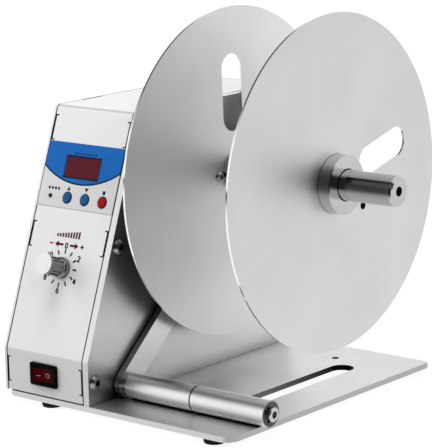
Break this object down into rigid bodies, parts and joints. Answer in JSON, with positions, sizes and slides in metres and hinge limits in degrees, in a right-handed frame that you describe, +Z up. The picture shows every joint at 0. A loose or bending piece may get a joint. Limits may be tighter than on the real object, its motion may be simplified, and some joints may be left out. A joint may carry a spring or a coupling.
{
  "type": "label rewinder",
  "caption": "Benchtop label rewinder: sloping control box, driven spindle between slotted clamp discs, swinging guide roller, slotted base.",
  "frame": {"origin": "on the floor, under the middle of the whole object", "axes": "+X along the spindle to its free end, +Y to the back, +Z up"},
  "size_m": [0.247, 0.2672, 0.2745],
  "materials": {
    "base_aluminium": "fine brushed",
    "plate_aluminium": "satin",
    "white_sheet": "smooth satin paint",
    "disc_aluminium": "satin anodised",
    "turned_steel": "turned",
    "screw_steel": "bright zinc",
    "black_steel": "black oxide",
    "inner_metal": "machined",
    "motor_case": "dark",
    "brass": "machined",
    "rubber": "matte",
    "overlay_film": "printed film",
    "red_window": "clear dark red",
    "lamp_red": "clear",
    "blue_key": "smooth",
    "red_key": "smooth",
    "rocker_red": "clear dark red",
    "black_plastic": "fine grain",
    "knob_silver": "silver",
    "circuit_board": "solder mask"
  },
  "bodies": {
    "chassis": {"base_plate": "base_aluminium", "rubber_feet": "rubber", "base_screws": "screw_steel", "right_side_plate": "plate_aluminium", "left_side_plate": "white_sheet", "front_cover": "white_sheet", "rear_panel": "white_sheet", "right_plate_screws": "screw_steel", "left_plate_screws": "screw_steel", "clinch_nuts": "brass", "panel_overlay": "overlay_film", "display_window": "red_window", "display_module": "black_plastic", "display_board": "circuit_board", "status_lamp": "lamp_red", "key_switches": "black_plastic", "board_standoffs": "brass", "control_board": "circuit_board", "potentiometer": "black_plastic", "potentiometer_nut": "screw_steel", "switch_bezel": "black_plastic", "power_inlet": "black_plastic", "power_supply": "inner_metal", "bearing_housing": "inner_metal", "housing_screws": "screw_steel", "front_bearing": "turned_steel", "rear_bearing": "turned_steel", "motor_bracket": "inner_metal", "gear_motor": "motor_case", "motor_screws": "screw_steel", "drive_belt": "rubber", "arm_bush": "brass", "arm_stops": "inner_metal", "arm_sensor": "black_plastic"},
    "spindle": {"spindle_shaft": "turned_steel", "inner_hub": "turned_steel", "inner_disc": "disc_aluminium", "inner_disc_screws": "screw_steel", "spindle_pulley": "inner_metal"},
    "outer_clamp": {"outer_collar": "turned_steel", "outer_disc": "disc_aluminium", "outer_disc_screws": "screw_steel", "collar_set_screw": "black_steel"},
    "motor_rotor": {"motor_shaft": "turned_steel", "motor_pulley": "inner_metal"},
    "arm": {"tension_arm": "plate_aluminium", "arm_shaft": "turned_steel", "arm_screw": "screw_steel", "sensor_vane": "black_plastic", "roller_axle": "turned_steel", "roller_washers": "screw_steel", "roller_clip": "screw_steel"},
    "inner_sleeve": {"inner_roller": "turned_steel"},
    "outer_sleeve": {"outer_roller": "turned_steel"},
    "knob": {"speed_knob": "knob_silver", "control_shaft": "turned_steel"},
    "switch_rocker": {"rocker": "rocker_red"},
    "key_left": {"button_left": "blue_key"},
    "key_middle": {"button_middle": "blue_key"},
    "key_right": {"button_right": "red_key"}
  },
  "joints": [
    {"name": "spindle_spin", "type": "hinge", "parent": "chassis", "child": "spindle", "pos_m": [-0.0213, 0.01358, 0.1545], "axis": [1, 0, 0], "continuous": true},
    {"name": "outer_disc_slide", "type": "slide", "parent": "spindle", "child": "outer_clamp", "axis": [1, 0, 0], "range_m": [-0.078, 0.04]},
    {"name": "motor_spin", "type": "hinge", "parent": "chassis", "child": "motor_rotor", "pos_m": [-0.1185, 0.04358, 0.0625], "axis": [1, 0, 0], "continuous": true},
    {"name": "arm_swing", "type": "hinge", "parent": "chassis", "child": "arm", "pos_m": [-0.0385, 0.00218, 0.1034], "axis": [-1, 0, 0], "range_deg": [0, 36]},
    {"name": "inner_roller_spin", "type": "hinge", "parent": "arm", "child": "inner_sleeve", "pos_m": [-0.0286, -0.09544, 0.01755], "axis": [1, 0, 0], "continuous": true},
    {"name": "outer_roller_spin", "type": "hinge", "parent": "arm", "child": "outer_sleeve", "pos_m": [0.03, -0.09544, 0.01755], "axis": [1, 0, 0], "continuous": true},
    {"name": "knob_turn", "type": "hinge", "parent": "chassis", "child": "knob", "pos_m": [-0.0815, -0.10833, 0.09766], "axis": [0, -0.9375, 0.348], "range_deg": [-150, 150]},
    {"name": "switch_rock", "type": "hinge", "parent": "chassis", "child": "switch_rocker", "pos_m": [-0.0815, -0.12892, 0.0244], "axis": [0, 0, -1], "range_deg": [0, 16]},
    {"name": "button_left_press", "type": "slide", "parent": "chassis", "child": "key_left", "axis": [0, 0.9375, -0.348], "range_m": [0, 0.0005], "stiffness_N_per_m": 2000, "springref_m": -0.0003},
    {"name": "button_middle_press", "type": "slide", "parent": "chassis", "child": "key_middle", "axis": [0, 0.9375, -0.348], "range_m": [0, 0.0005], "stiffness_N_per_m": 2000, "springref_m": -0.0003},
    {"name": "button_right_press", "type": "slide", "parent": "chassis", "child": "key_right", "axis": [0, 0.9375, -0.348], "range_m": [0, 0.0005], "stiffness_N_per_m": 2000, "springref_m": -0.0003}
  ],
  "couplings": [
    {"joint": "motor_spin", "follows": "spindle_spin", "ratio": 2}
  ]
}
